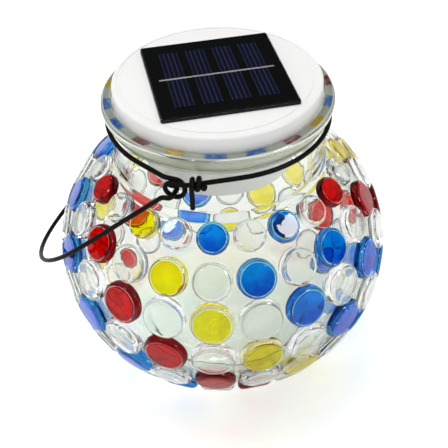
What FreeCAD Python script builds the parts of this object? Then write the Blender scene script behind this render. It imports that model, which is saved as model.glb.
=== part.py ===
import FreeCAD, Part
import math
import os

# A ball-shaped glass garden lantern: a jar set with coloured glass gems, a solar plug lid and a wire bail.
# Millimetres, +Z up, origin at the middle of the foot, hinge line of the bail along Y.

# Glass jar
ball_radius = 64.0
ball_half_height = 57.0
foot_cut = 9.5
foot_round = 3.0
foot_land = 13.4
push_up_depth = 1.5
glass_wall = 3.5
floor_thickness = 6.0
neck_wall = 4.2
neck_height = 28.5
shoulder_round = 5.0
ledge_width = 3.0
rim_wall = 4.1
rim_height = 7.5
rim_round = 1.8
rim_band = 3.0
rim_taper = 2.1
rim_bend = 4.0
rim_foot_round = 0.5
lip_round = 0.9
socket_depth = 6.0

# Gems, bonded to the ball in rows of latitude, top row first, with the gap to each next row
gem_columns = 22
gem_top_angle = 44.0
gem_row_gaps = [2.0, 0.1, 0.1, 0.1, 1.3]
gem_gap = 1.15
gem_height = 3.0
gem_side = 1.3
gem_table = 0.76
gem_root = 1.6
glue_line = 0.1
diagonal_colours = (
    "blue", "blue", "red", "yellow", "blue", "red", "yellow", "blue", "blue", "red", "yellow"
)

# Plug lid
lid_turn = 31.6
cap_clearance = 0.5
cap_height = 10.5
cap_wall = 2.0
cap_round = 1.0
cap_groove_inset = 1.8
cap_groove_width = 1.9
cap_groove_depth = 0.3
gasket_thickness = 1.0
gasket_width = 1.9
seat_gap = 0.05
flange_thickness = 2.0
flange_clearance = 0.3
cup_depth = 22.0
cup_wall = 1.8
cup_round = 1.5
cup_clearance = 2.2
lid_screw_count = 3
lid_screw_radius = 1.25
lid_screw_head = 2.6
lid_screw_head_height = 1.5
lid_screw_grip = 5.0
lid_screw_room = 1.6
boss_wall = 1.9
pilot_clearance = 0.05
through_clearance = 0.35

# Solar panel
panel_side = 50.0
panel_corner = 0.8
board_thickness = 1.0
resin_thickness = 0.8
resin_bevel = 0.5
cell_count = 4
cell_width = 6.9
cell_pitch = 10.2
cell_length = 37.5
cell_thickness = 0.25
ribbon_overhang = 2.75
ribbon_width = 0.9
ribbon_thickness = 0.15

# Battery bay
battery_radius = 5.25
battery_length = 28.5
battery_nub_radius = 1.9
battery_nub_height = 1.0
battery_y = 9.5
battery_gap = 0.15
bay_margin = 0.8
door_margin = 5.4
door_side_margin = 1.9
door_thickness = 1.2
door_step = 1.4
door_clearance = 0.3
door_screw_radius = 1.0
door_screw_head = 1.9
door_screw_head_height = 1.0
door_screw_grip = 4.0
contact_thickness = 0.4
contact_width = 9.0
contact_height = 8.0
contact_tail = 2.0
contact_foot = 3.0
contact_gap = 0.1
rib_thickness = 0.8

# Circuit board, lamp and switch
circuit_length = 29.6
circuit_width = 14.0
circuit_thickness = 1.2
circuit_y = -12.0
peg_inset = 1.9
peg_offset = 4.0
peg_radius = 1.7
peg_pin_radius = 0.9
peg_pin_height = 1.5
peg_clearance = 0.08
lamp_offset = 3.0
lamp_radius = 2.5
lamp_length = 8.7
lamp_flange_radius = 2.9
lamp_flange_height = 1.0
lamp_hole_clearance = 0.25
lamp_lead_radius = 0.3
lamp_lead_spacing = 2.54
lamp_lead_tail = 1.4
switch_x = 7.5
switch_offset = -3.2
switch_length = 8.6
switch_width = 4.2
switch_height = 3.6
switch_gap = 0.2
switch_travel = 2.0
slider_length = 2.0
slider_width = 1.5
slider_engagement = 1.5
slider_reach = 2.0
slider_clearance = 0.25
panel_lead_radius = 0.6
panel_lead_spacing = 1.8
panel_lead_x = -8.0
panel_lead_offset = 2.5
panel_lead_hole = 3.0

# Wire ring and bail
wire_radius = 0.9
wire_gap = 0.35
ring_drop = 2.0
eye_radius = 3.4
eye_advance = 2.3
eye_lead = 3.0
eye_bend = 6.0
wrap_turns = 2
wrap_pitch = 2.3
wrap_gap = 0.08
wrap_tail = 9.0
bail_droop = 41.7
bail_crank = 3.2
bail_side_gap = 4.4
bail_end_gap = 13.0
hook_bend = 1.6
hook_return = 3.4

edge_tolerance = 0.01

# Levels and radii that follow from the sizes above, from the circuit board outwards
circuit_edge = circuit_y - circuit_width / 2
cup_inside = math.hypot(circuit_length / 2, circuit_edge) + cup_clearance
cup_radius = cup_inside + cup_wall
lid_screw_circle = cup_radius + lid_screw_room + lid_screw_head
bore_radius = lid_screw_circle + lid_screw_head + lid_screw_room
neck_radius = bore_radius + neck_wall
socket_radius = bore_radius + ledge_width
rim_radius = socket_radius + rim_wall
ball_centre = ball_half_height - foot_cut
foot_radius = ball_radius * math.sqrt(1 - (ball_centre / ball_half_height) ** 2)
push_up_radius = foot_radius - foot_land
neck_base = ball_centre + ball_half_height * math.sqrt(1 - (neck_radius / ball_radius) ** 2)
rim_top = neck_base + neck_height
rim_bottom = rim_top - rim_height
ledge = rim_top - socket_depth
cap_radius = socket_radius - cap_clearance
cap_bottom = ledge + seat_gap + gasket_thickness
cap_top = cap_bottom + cap_height
cap_inside = cap_radius - cap_wall
cap_groove_radius = cap_radius - cap_groove_inset
cap_ceiling = cap_top - cap_wall
flange_radius = cap_inside - flange_clearance
flange_top = cap_bottom + flange_thickness
cup_bottom = cap_bottom - cup_depth
cup_floor = cup_bottom + cup_wall
battery_axis = cup_bottom + door_step + battery_gap + battery_radius
bay_half_length = battery_length / 2 + bay_margin
bay_half_width = battery_radius + bay_margin
contact_face = battery_length / 2 + battery_nub_height / 2 + contact_gap
circuit_bottom = cup_floor + switch_gap + switch_height
circuit_top = circuit_bottom + circuit_thickness
peg_x = circuit_length / 2 - peg_inset
peg_y = circuit_y + peg_offset
lamp_y = circuit_y + lamp_offset
switch_y = circuit_y + switch_offset
panel_lead_y = circuit_y + panel_lead_offset
ribbon_length = (cell_count - 1) * cell_pitch + cell_width + 2 * ribbon_overhang
ring_height = rim_bottom - ring_drop
ring_radius = neck_radius + wire_gap + wire_radius
hook_return_y = ring_radius
inner_crest = hook_return_y + 2 * wire_radius
outer_crest = inner_crest + eye_advance
wrap_radius = 2 * wire_radius + wrap_gap
hinge_height = ring_height - 2 * eye_radius + 2 * wire_radius + wire_gap

up = FreeCAD.Vector(0, 0, 1)
centre_line = FreeCAD.Vector(0, 0, 0)
along_x = FreeCAD.Vector(1, 0, 0)
along_y = FreeCAD.Vector(0, 1, 0)


def vector(x, y, z):
    return FreeCAD.Vector(x, y, z)


def export(name, shape):
    shape.exportStep("parts/" + name + ".step")


def turned(shape, angle):
    copy = shape.copy()
    copy.rotate(centre_line, up, angle)
    return copy


def rod(radius, low, high, x=0.0, y=0.0):
    return Part.makeCylinder(radius, high - low, vector(x, y, low))


def pipe(outer, inner, low, high):
    return rod(outer, low, high).cut(rod(inner, low, high))


def block(x0, x1, y0, y1, z0, z1):
    return Part.makeBox(x1 - x0, y1 - y0, z1 - z0, vector(x0, y0, z0))


def revolved(edges):
    return Part.Face(Part.Wire(edges)).revolve(centre_line, up, 360)


def outline(points):
    corners = [vector(r, 0, z) for r, z in points]
    return [Part.LineSegment(a, b).toShape() for a, b in zip(corners, corners[1:])]


def circle_edges(shape, radius, height):
    """The round edges of a shape at this radius and height."""
    found = []
    for edge in shape.Edges:
        if isinstance(edge.Curve, Part.Circle):
            flat = abs(edge.Curve.Center.z - height) < edge_tolerance
            if flat and abs(edge.Curve.Radius - radius) < edge_tolerance:
                found.append(edge)
    return found


def rounded(shape, size, radius, height):
    return shape.makeFillet(size, circle_edges(shape, radius, height))


def ball_level(radius, half_width, half_height):
    """The height above the ball's middle at which its side has this radius."""
    return half_height * math.sqrt(1 - (radius / half_width) ** 2)


def ball_side(half_width, half_height, low, high):
    """The side of the ball between two heights measured from its middle."""
    middle = vector(0, 0, ball_centre)
    side = along_x * half_width
    top = up * half_height
    start = math.asin(low / half_height)
    end = math.asin(high / half_height)
    if half_width > half_height:
        return Part.ArcOfEllipse(Part.Ellipse(middle + side, middle + top, middle), start, end).toShape()
    tall = Part.Ellipse(middle + top, middle - side, middle)
    return Part.ArcOfEllipse(tall, start - math.pi / 2, end - math.pi / 2).toShape()


def jar_outside(grow=0.0):
    """The outer form of the jar, as a solid, grown all round by a small amount."""
    half_width = ball_radius + grow
    half_height = ball_half_height + grow
    neck = neck_radius + grow
    rim = rim_radius + grow
    foot = half_width * math.sqrt(1 - (ball_centre / half_height) ** 2)
    shoulder = ball_level(neck, half_width, half_height)
    side = ball_side(half_width, half_height, -ball_centre, shoulder)
    lower = outline([(0, 0), (foot, 0)])
    upper = outline([
        (neck, ball_centre + shoulder),
        (neck, rim_bottom),
        (rim - rim_taper, rim_bottom),
        (rim, rim_top - rim_band),
        (rim, rim_top),
        (0, rim_top),
        (0, 0),
    ])
    solid = revolved(lower + [side] + upper)
    solid = rounded(solid, foot_round, foot, 0)
    solid = rounded(solid, shoulder_round, neck, ball_centre + shoulder)
    solid = rounded(solid, rim_foot_round, rim - rim_taper, rim_bottom)
    solid = rounded(solid, rim_bend, rim, rim_top - rim_band)
    return rounded(solid, rim_round, rim, rim_top)


def jar_inside():
    half_width = ball_radius - glass_wall
    half_height = ball_half_height - glass_wall
    low = floor_thickness - ball_centre
    floor = half_width * math.sqrt(1 - (low / half_height) ** 2)
    shoulder = ball_level(bore_radius, half_width, half_height)
    side = ball_side(half_width, half_height, low, shoulder)
    lower = outline([(0, floor_thickness), (floor, floor_thickness)])
    upper = outline([
        (bore_radius, ball_centre + shoulder),
        (bore_radius, ledge),
        (socket_radius, ledge),
        (socket_radius, rim_top),
        (0, rim_top),
        (0, floor_thickness),
    ])
    solid = revolved(lower + [side] + upper)
    solid = rounded(solid, foot_round, floor, floor_thickness)
    return rounded(solid, shoulder_round, bore_radius, ball_centre + shoulder)


def glass_jar():
    jar = jar_outside().cut(jar_inside())
    jar = rounded(jar, lip_round, socket_radius, rim_top)
    push_up = Part.makeCone(push_up_radius, push_up_radius - push_up_depth, push_up_depth)
    return jar.cut(push_up)


def gem_radius(angle):
    return ball_radius * math.cos(angle) * math.pi / gem_columns - gem_gap / 2


def gem_place(angle):
    """Where a gem at this latitude sits, as the radius of its row and the height above the ball's middle."""
    return ball_radius * math.cos(angle), ball_half_height * math.sin(angle)


def next_row(upper, gap):
    """The latitude of the row below, where its gems clear those above by the gap."""
    near = upper
    far = upper - math.pi / 4
    while near - far > 1e-6:
        middle = (near + far) / 2
        clear = math.dist(gem_place(upper), gem_place(middle)) - gem_radius(upper) - gem_radius(middle)
        if clear < gap:
            near = middle
        else:
            far = middle
    return far


def gem_rows():
    rows = [math.radians(gem_top_angle)]
    for gap in gem_row_gaps:
        rows.append(next_row(rows[-1], gap))
    return rows


def gem(angle, envelope):
    """One gem of a row, at the front of the jar, its back ground to the curve of the glass."""
    ring, rise = gem_place(angle)
    radius = gem_radius(angle)
    table = gem_table * radius
    lean = math.atan2(math.sin(angle) / ball_half_height, math.cos(angle) / ball_radius)
    belly_x = table + (radius - table) * math.cos(math.pi / 4)
    belly_z = gem_side + (gem_height - gem_side) * math.sin(math.pi / 4)
    belly = vector(belly_x, 0, belly_z)
    shoulder = Part.Arc(vector(radius, 0, gem_side), belly, vector(table, 0, gem_height)).toShape()
    lower = outline([(0, -gem_root), (radius, -gem_root), (radius, gem_side)])
    upper = outline([(table, gem_height), (0, gem_height), (0, -gem_root)])
    solid = revolved(lower + [shoulder] + upper)
    solid.rotate(centre_line, along_x, 90 - math.degrees(lean))
    solid.translate(vector(0, -ring, ball_centre + rise))
    return solid.cut(envelope)


def gem_colour(column, row):
    """Clear and coloured gems alternate, and each colour runs along a diagonal."""
    diagonal = column - 1 - row
    if diagonal % 2:
        return "clear"
    return diagonal_colours[(diagonal // 2) % len(diagonal_colours)]


def export_gems():
    envelope = jar_outside(glue_line)
    for row, angle in enumerate(gem_rows()):
        first = gem(angle, envelope)
        groups = {}
        for column in range(gem_columns):
            copy = turned(first, 360 * column / gem_columns)
            groups.setdefault(gem_colour(column, row), []).append(copy)
        for colour, copies in groups.items():
            export(colour + "_gems_row_" + str(row + 1), Part.makeCompound(copies))


def round_places(count, circle):
    angles = [2 * math.pi * i / count for i in range(count)]
    return [(circle * math.cos(a), circle * math.sin(a)) for a in angles]


def lid_cap():
    cap = rounded(rod(cap_radius, cap_bottom, cap_top), cap_round, cap_radius, cap_top)
    cap = cap.cut(rod(cap_inside, cap_bottom, cap_ceiling))
    groove_inside = cap_groove_radius - cap_groove_width
    cap = cap.cut(pipe(cap_groove_radius, groove_inside, cap_top - cap_groove_depth, cap_top))
    pilot = lid_screw_radius + pilot_clearance
    pilot_top = flange_top + lid_screw_grip + through_clearance
    for x, y in round_places(lid_screw_count, lid_screw_circle):
        cap = cap.fuse(rod(pilot + boss_wall, flange_top, cap_ceiling, x, y))
        cap = cap.cut(rod(pilot, flange_top, pilot_top, x, y))
    cap = cap.cut(rod(panel_lead_hole, cap_ceiling, cap_top, panel_lead_x, panel_lead_y))
    return cap.removeSplitter()


def lid_gasket():
    return pipe(cap_radius, cap_radius - gasket_width, ledge + seat_gap, cap_bottom)


def slider_slot(clearance, low, high):
    """The room that the switch slider needs over its travel."""
    start = switch_x - switch_travel / 2 - slider_length / 2 - clearance
    end = switch_x + switch_travel / 2 + slider_length / 2 + clearance
    half_width = slider_width / 2 + clearance
    return block(start, end, switch_y - half_width, switch_y + half_width, low, high)


def door_screw_places():
    reach = bay_half_length + door_margin / 2
    return [(-reach, battery_y), (reach, battery_y)]


def lamp_housing():
    cup = rounded(rod(cup_radius, cup_bottom, flange_top), cup_round, cup_radius, cup_bottom)
    cup = cup.fuse(rod(flange_radius, cap_bottom, flange_top))
    cup = cup.cut(rod(cup_inside, cup_floor, flange_top))
    for x, y in round_places(lid_screw_count, lid_screw_circle):
        cup = cup.cut(rod(lid_screw_radius + through_clearance, cap_bottom, flange_top, x, y))
    low_y = battery_y - bay_half_width
    high_y = battery_y + bay_half_width
    cup = cup.cut(block(-bay_half_length, bay_half_length, low_y, high_y, cup_bottom, cup_floor))
    pilot = door_screw_radius + pilot_clearance
    boss_top = cup_floor + door_screw_grip
    for x, y in door_screw_places():
        cup = cup.fuse(rod(pilot + boss_wall / 2, cup_floor, boss_top, x, y))
        cup = cup.cut(rod(pilot, cup_bottom, boss_top, x, y))
    rib_near = max(contact_face + contact_thickness + contact_gap, bay_half_length)
    half_rib = contact_width / 2
    for near, far in [(rib_near, rib_near + rib_thickness), (-rib_near - rib_thickness, -rib_near)]:
        rib_top = battery_axis + contact_height / 2
        rib = block(near, far, battery_y - half_rib, battery_y + half_rib, cup_floor, rib_top)
        cup = cup.fuse(rib)
    for x in (-peg_x, peg_x):
        cup = cup.fuse(rod(peg_radius, cup_floor, circuit_bottom, x, peg_y))
        cup = cup.fuse(rod(peg_pin_radius, circuit_bottom, circuit_top + peg_pin_height, x, peg_y))
    cup = cup.cut(rod(lamp_radius + lamp_hole_clearance, cup_bottom, cup_floor, 0, lamp_y))
    return cup.cut(slider_slot(slider_clearance, cup_bottom, cup_floor)).removeSplitter()


def screw(radius, head, head_height, seat, reach, x, y):
    """A pan-head screw with its head under the seat and its shank going up."""
    top = rounded(rod(head, seat - head_height, seat, x, y), head_height / 2, head, seat - head_height)
    return top.fuse(rod(radius, seat, seat + reach, x, y))


def lid_screws():
    reach = flange_thickness + lid_screw_grip
    sizes = (lid_screw_radius, lid_screw_head, lid_screw_head_height, cap_bottom, reach)
    places = round_places(lid_screw_count, lid_screw_circle)
    return Part.makeCompound([screw(*sizes, x, y) for x, y in places])


def battery_door():
    half_length = bay_half_length + door_margin
    low_y = battery_y - bay_half_width - door_side_margin
    high_y = battery_y + bay_half_width + door_side_margin
    door = block(-half_length, half_length, low_y, high_y, cup_bottom - door_thickness, cup_bottom)
    corners = [e for e in door.Edges if abs(e.tangentAt(e.FirstParameter).z) > 0.9]
    door = door.makeFillet(door_side_margin, corners)
    step_length = bay_half_length - door_clearance
    step_low = battery_y - bay_half_width + door_clearance
    step_high = battery_y + bay_half_width - door_clearance
    step_top = cup_bottom + door_step
    door = door.fuse(block(-step_length, step_length, step_low, step_high, cup_bottom, step_top))
    hole = door_screw_radius + through_clearance
    for x, y in door_screw_places():
        door = door.cut(rod(hole, cup_bottom - door_thickness, cup_bottom, x, y))
    return door.removeSplitter()


def door_screws():
    reach = door_thickness + cup_wall + door_screw_grip / 2
    seat = cup_bottom - door_thickness
    sizes = (door_screw_radius, door_screw_head, door_screw_head_height, seat, reach)
    return Part.makeCompound([screw(*sizes, x, y) for x, y in door_screw_places()])


def battery_cell():
    start = vector(-battery_length / 2 - battery_nub_height / 2, battery_y, battery_axis)
    can = Part.makeCylinder(battery_radius, battery_length, start, along_x)
    end = start + along_x * battery_length
    return can.fuse(Part.makeCylinder(battery_nub_radius, battery_nub_height, end, along_x))


def contact_strip(side):
    """A bent contact plate at one end of the battery, with a tail soldered to the circuit board."""
    near = contact_face
    far = contact_face + contact_thickness
    low = battery_axis - contact_height / 2
    high = battery_axis + contact_height / 2
    half = contact_width / 2
    tail_y = peg_y + peg_pin_radius + contact_gap
    tail_end = circuit_y + circuit_width / 2
    foot_top = circuit_top + contact_thickness
    pieces = [
        block(near, far, battery_y - half, battery_y + half, low, high),
        block(near, far, tail_y, battery_y, high - contact_tail, high),
        block(near, far, tail_y, tail_end, circuit_top, high),
        block(far - contact_foot, far, tail_y, tail_end, circuit_top, foot_top),
    ]
    strip = pieces[0].fuse(pieces[1:]).removeSplitter()
    if side < 0:
        strip = strip.mirror(centre_line, along_x)
    return strip


def circuit_board():
    high_y = circuit_y + circuit_width / 2
    half = circuit_length / 2
    board = block(-half, half, circuit_edge, high_y, circuit_bottom, circuit_top)
    for x in (-peg_x, peg_x):
        board = board.cut(rod(peg_pin_radius + peg_clearance, circuit_bottom, circuit_top, x, peg_y))
    for x in lamp_lead_places():
        board = board.cut(rod(lamp_lead_radius + peg_clearance, circuit_bottom, circuit_top, x, lamp_y))
    return board


def lamp_lead_places():
    return (-lamp_lead_spacing / 2, lamp_lead_spacing / 2)


def led_bulb():
    shoulder = circuit_bottom - lamp_length + lamp_radius
    body = rod(lamp_radius, shoulder, circuit_bottom, 0, lamp_y)
    body = body.fuse(Part.makeSphere(lamp_radius, vector(0, lamp_y, shoulder)))
    flange_low = circuit_bottom - lamp_flange_height
    return body.fuse(rod(lamp_flange_radius, flange_low, circuit_bottom, 0, lamp_y)).removeSplitter()


def led_leads():
    top = circuit_top + lamp_lead_tail
    places = lamp_lead_places()
    return Part.makeCompound([rod(lamp_lead_radius, circuit_bottom, top, x, lamp_y) for x in places])


def switch_body():
    half_length = switch_length / 2
    half_width = switch_width / 2
    low = circuit_bottom - switch_height
    left = switch_x - half_length
    right = switch_x + half_length
    body = block(left, right, switch_y - half_width, switch_y + half_width, low, circuit_bottom)
    return body.cut(slider_slot(slider_clearance, low, low + slider_engagement + slider_clearance))


def switch_slider():
    left = switch_x - switch_travel / 2 - slider_length / 2
    right = left + slider_length
    half_width = slider_width / 2
    low = cup_bottom - slider_reach
    high = circuit_bottom - switch_height + slider_engagement
    return block(left, right, switch_y - half_width, switch_y + half_width, low, high)


def panel_lead(side):
    x = panel_lead_x + side * panel_lead_spacing / 2
    return rod(panel_lead_radius, circuit_top, cap_top, x, panel_lead_y)


def panel_slab(low, high):
    half = panel_side / 2
    slab = block(-half, half, -half, half, low, high)
    corners = [e for e in slab.Edges if abs(e.tangentAt(e.FirstParameter).z) > 0.9]
    return slab.makeFillet(panel_corner, corners)


def solar_cells():
    low = cap_top + board_thickness
    half_length = cell_length / 2
    cells = []
    for i in range(cell_count):
        middle = (i - (cell_count - 1) / 2) * cell_pitch
        near = middle - cell_width / 2
        cells.append(block(near, near + cell_width, -half_length, half_length, low, low + cell_thickness))
    return Part.makeCompound(cells)


def cell_ribbon():
    low = cap_top + board_thickness + cell_thickness
    half_length = ribbon_length / 2
    half_width = ribbon_width / 2
    return block(-half_length, half_length, -half_width, half_width, low, low + ribbon_thickness)


def panel_resin():
    low = cap_top + board_thickness
    resin = panel_slab(low, low + resin_thickness)
    top_edges = [e for e in resin.Edges if e.BoundBox.ZMin > low + resin_thickness - edge_tolerance]
    resin = resin.makeChamfer(resin_bevel, top_edges)
    return resin.cut(solar_cells()).cut(cell_ribbon())


def line(a, b):
    return Part.LineSegment(a, b).toShape()


def half_turn(start, heading, diameter):
    """Half a turn of wire that leaves along heading and comes back at the far end of its diameter."""
    end = start + diameter
    middle = start + diameter * 0.5
    return Part.Arc(start, middle + heading * (diameter.Length / 2), end).toShape(), end


def full_turn(start, heading, across, advance, radius):
    """One turn of wire as two half turns that step sideways by advance in all."""
    out, far = half_turn(start, heading, across * (2 * radius) + advance * 0.5)
    back, end = half_turn(far, heading * -1, across * (-2 * radius) + advance * 0.5)
    return [out, back], end


def wire_tube(edges, start, heading):
    """Wire along a path, closed on itself where the path is a loop."""
    path = Part.Wire(edges)
    section = Part.Wire([Part.Circle(start, heading, wire_radius).toShape()])
    if not path.isClosed():
        return path.makePipeShell([section], True, False)
    skin = path.makePipeShell([section], False, False)
    skin.sewShape()
    return Part.makeSolid(skin.Shells[0])


def least_self_gap(edges):
    """The least gap between stretches of a wire that are not neighbours along it."""
    points = []
    travelled = 0.0
    for edge in edges:
        count = max(4, int(edge.Length / 0.4))
        for i, point in enumerate(edge.discretize(count)):
            points.append((travelled + edge.Length * i / (count - 1), point))
        travelled += edge.Length
    least = 1e9
    for i, (here, a) in enumerate(points):
        for there, b in points[i + 1:]:
            if 4 * math.pi * wire_radius < there - here < travelled - 4 * math.pi * wire_radius:
                least = min(least, a.distanceToPoint(b))
    return least - 2 * wire_radius


def bend_out(crest, side):
    """A run off the neck and the bend at its end, seen from above beside the front eye."""
    straight = crest - eye_bend
    lean = math.atan2(eye_lead, straight)
    angle = lean + math.acos((ring_radius - eye_bend) / math.hypot(eye_lead, straight))
    leave = vector(side * ring_radius * math.sin(angle), -ring_radius * math.cos(angle), ring_height)
    middle = vector(side * eye_lead, -straight, ring_height)

    def on_bend(turn):
        return middle + vector(side * eye_bend * math.sin(turn), -eye_bend * math.cos(turn), 0)

    return leave, on_bend(angle), on_bend(angle / 2), on_bend(0), angle


def half_ring():
    """One eye with the runs beside it, and the arc of the ring that leads on to the next eye."""
    leave, start, halfway, end, in_angle = bend_out(inner_crest, -1)
    enter = vector(0, -inner_crest, ring_height)
    turn, cross = full_turn(enter, along_x, up * -1, along_y * -eye_advance, eye_radius)
    edges = [line(leave, start), Part.Arc(start, halfway, end).toShape(), line(end, enter)] + turn
    leave, end, halfway, start, out_angle = bend_out(outer_crest, 1)
    edges += [line(cross, start), Part.Arc(start, halfway, end).toShape(), line(end, leave)]
    first = out_angle - math.pi / 2
    last = math.pi / 2 - in_angle

    def on_ring(angle):
        return vector(ring_radius * math.cos(angle), ring_radius * math.sin(angle), ring_height)

    edges.append(Part.Arc(on_ring(first), on_ring((first + last) / 2), on_ring(last)).toShape())
    return edges


def neck_wire():
    front = half_ring()
    edges = front + [turned(edge, 180) for edge in front]
    start = edges[0].Vertexes[0].Point
    print("neck wire least self gap", round(least_self_gap(edges), 2))
    return wire_tube(edges, start, edges[0].tangentAt(edges[0].FirstParameter))


def wrap_place():
    """Where the binding beside the front eye starts, on the outside of the run, and the run's heading."""
    leave, bend_end, _, _, _ = bend_out(outer_crest, 1)
    run = (leave - bend_end).normalize()
    outward = run.cross(up)
    return bend_end + outward * wrap_radius, run, outward


def eye_wraps():
    """The binding beside each eye: turns round the run of the ring, with a tail hanging down."""
    place, run, outward = wrap_place()
    tail_end = place - up * wrap_tail
    edges = [line(tail_end, place)]
    for _ in range(wrap_turns):
        turn, place = full_turn(place, up, outward * -1, run * wrap_pitch, wrap_radius)
        edges += turn
    print("eye wrap least self gap", round(least_self_gap(edges), 2))
    front = wire_tube(edges, tail_end, up)
    return Part.makeCompound([front, turned(front, 180)])


def bent(points, radii):
    """A path of straight runs through points, with each inner corner rounded to its radius."""
    edges = []
    here = points[0]
    for before, corner, after, radius in zip(points, points[1:], points[2:], radii):
        arriving = (corner - before).normalize()
        leaving = (after - corner).normalize()
        turn = arriving.getAngle(leaving)
        reach = radius * math.tan(turn / 2)
        start = corner - arriving * reach
        end = corner + leaving * reach
        inward = (leaving - arriving).normalize()
        middle = corner + inward * (radius / math.cos(turn / 2) - radius)
        edges.append(line(here, start))
        edges.append(Part.Arc(start, middle, end).toShape())
        here = end
    return edges, here


def bail_room(droop, rise):
    """Half the width and the reach of the jar, its gems and half a wire where the bail's plane cuts them."""
    half_width = ball_radius + gem_height + wire_radius
    half_height = ball_half_height + gem_height + wire_radius
    away = rise * math.cos(droop)
    span = math.hypot(half_width * math.sin(droop), half_height * math.cos(droop))
    width = half_width * math.sqrt(1 - (away / span) ** 2)
    square = (math.cos(droop) / half_width) ** 2 + (math.sin(droop) / half_height) ** 2
    slope = rise * math.sin(droop) / half_height ** 2
    rest = (rise / half_height) ** 2 - 1
    return width, (slope + math.sqrt(slope ** 2 - square * rest)) / square


def bail_handle():
    leg_y = 2 * wire_radius + wire_gap - wrap_place()[0].y
    droop = math.radians(bail_droop)
    drop = vector(-math.cos(droop), 0, -math.sin(droop))
    crank_end = vector(-bail_crank, 0, hinge_height)
    crank_along = bail_crank / math.cos(droop)
    plane_top = crank_end - drop * crank_along
    room_width, room_reach = bail_room(droop, plane_top.z - ball_centre)
    bail_arch_radius = room_width + bail_side_gap
    arch_start = room_reach + bail_end_gap - bail_arch_radius

    def on_plane(y, reach):
        return plane_top + drop * reach + along_y * y

    def arch_point(angle):
        reach = arch_start + bail_arch_radius * math.sin(angle)
        return on_plane(-bail_arch_radius * math.cos(angle), reach)

    away = math.hypot(leg_y, arch_start - crank_along)
    tilt = math.acos(bail_arch_radius / away) - math.atan2(arch_start - crank_along, leg_y)
    pin_in = vector(0, -hook_return_y, hinge_height)
    pin_out = vector(0, -leg_y, hinge_height)
    tip = pin_in - along_x * hook_return
    crank = vector(-bail_crank, -leg_y, hinge_height)
    points = [tip, pin_in, pin_out, crank, arch_point(tilt)]
    front, last = bent(points, [hook_bend, hook_bend, 2 * hook_bend])
    front.append(line(last, arch_point(tilt)))
    arch = Part.Arc(arch_point(tilt), arch_point(math.pi / 2), arch_point(math.pi - tilt)).toShape()
    rear = [edge.mirror(centre_line, along_y) for edge in reversed(front)]
    edges = Part.sortEdges(front + [arch] + rear)[0]
    return wire_tube(edges, tip, along_x)


os.makedirs("parts", exist_ok=True)
export("glass_jar", glass_jar())
export_gems()
lid_pieces = {
    "lid_cap": lid_cap(),
    "lid_gasket": lid_gasket(),
    "lamp_housing": lamp_housing(),
    "lid_screws": lid_screws(),
    "battery_door": battery_door(),
    "door_screws": door_screws(),
    "battery_cell": battery_cell(),
    "positive_contact": contact_strip(1),
    "negative_contact": contact_strip(-1),
    "circuit_board": circuit_board(),
    "led_bulb": led_bulb(),
    "led_leads": led_leads(),
    "switch_body": switch_body(),
    "switch_slider": switch_slider(),
    "panel_lead_positive": panel_lead(1),
    "panel_lead_negative": panel_lead(-1),
    "panel_board": panel_slab(cap_top, cap_top + board_thickness),
    "solar_cells": solar_cells(),
    "cell_ribbon": cell_ribbon(),
    "panel_resin": panel_resin(),
}
for name, shape in lid_pieces.items():
    export(name, turned(shape, lid_turn))
export("neck_wire", neck_wire())
export("eye_wraps", eye_wraps())
export("bail_handle", bail_handle())
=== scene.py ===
import bpy
import math
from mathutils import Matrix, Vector


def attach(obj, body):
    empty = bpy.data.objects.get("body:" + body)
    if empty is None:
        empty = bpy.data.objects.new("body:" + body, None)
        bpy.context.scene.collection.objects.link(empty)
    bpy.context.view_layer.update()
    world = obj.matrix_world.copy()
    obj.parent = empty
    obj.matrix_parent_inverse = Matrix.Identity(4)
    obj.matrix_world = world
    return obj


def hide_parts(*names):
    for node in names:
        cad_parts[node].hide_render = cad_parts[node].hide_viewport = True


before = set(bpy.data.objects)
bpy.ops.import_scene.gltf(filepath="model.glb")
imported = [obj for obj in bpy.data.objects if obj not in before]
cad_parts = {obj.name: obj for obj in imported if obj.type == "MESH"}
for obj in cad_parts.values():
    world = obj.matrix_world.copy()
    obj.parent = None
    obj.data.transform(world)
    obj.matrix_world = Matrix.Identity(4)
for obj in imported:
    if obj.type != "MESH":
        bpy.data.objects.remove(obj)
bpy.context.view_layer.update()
mm = 0.001
print("frame loaded:", len(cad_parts), "nodes")


# Selection and mesh tools

def clearSelection():
    if bpy.context.mode != "OBJECT":
        bpy.ops.object.mode_set(mode="OBJECT")
    bpy.ops.object.select_all(action="DESELECT")


def pickOnly(piece):
    clearSelection()
    piece.select_set(True)
    bpy.context.view_layer.objects.active = piece


def pickFaces(piece, test):
    bpy.ops.object.mode_set(mode="OBJECT")
    for vertex in piece.data.vertices:
        vertex.select = False
    for edge in piece.data.edges:
        edge.select = False
    for face in piece.data.polygons:
        face.select = test(face)
    bpy.ops.object.mode_set(mode="EDIT")
    bpy.ops.mesh.select_mode(type="FACE")


def traceLine(name, points, closed=False):
    # a plane merged to one vertex, which is then extruded from point to point
    clearSelection()
    bpy.ops.mesh.primitive_plane_add(size=mm)
    piece = bpy.context.object
    piece.name = name
    piece.data.name = name
    bpy.ops.object.mode_set(mode="EDIT")
    bpy.ops.mesh.select_mode(type="VERT")
    bpy.ops.mesh.select_all(action="SELECT")
    bpy.ops.mesh.merge(type="CENTER")
    bpy.ops.transform.translate(value=points[0])
    for here, there in zip(points, points[1:]):
        bpy.ops.mesh.extrude_region_move(TRANSFORM_OT_translate={"value": there - here})
    if closed:
        bpy.ops.object.mode_set(mode="OBJECT")
        piece.data.vertices[0].select = True
        bpy.ops.object.mode_set(mode="EDIT")
        bpy.ops.mesh.edge_face_add()
    return piece


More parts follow.
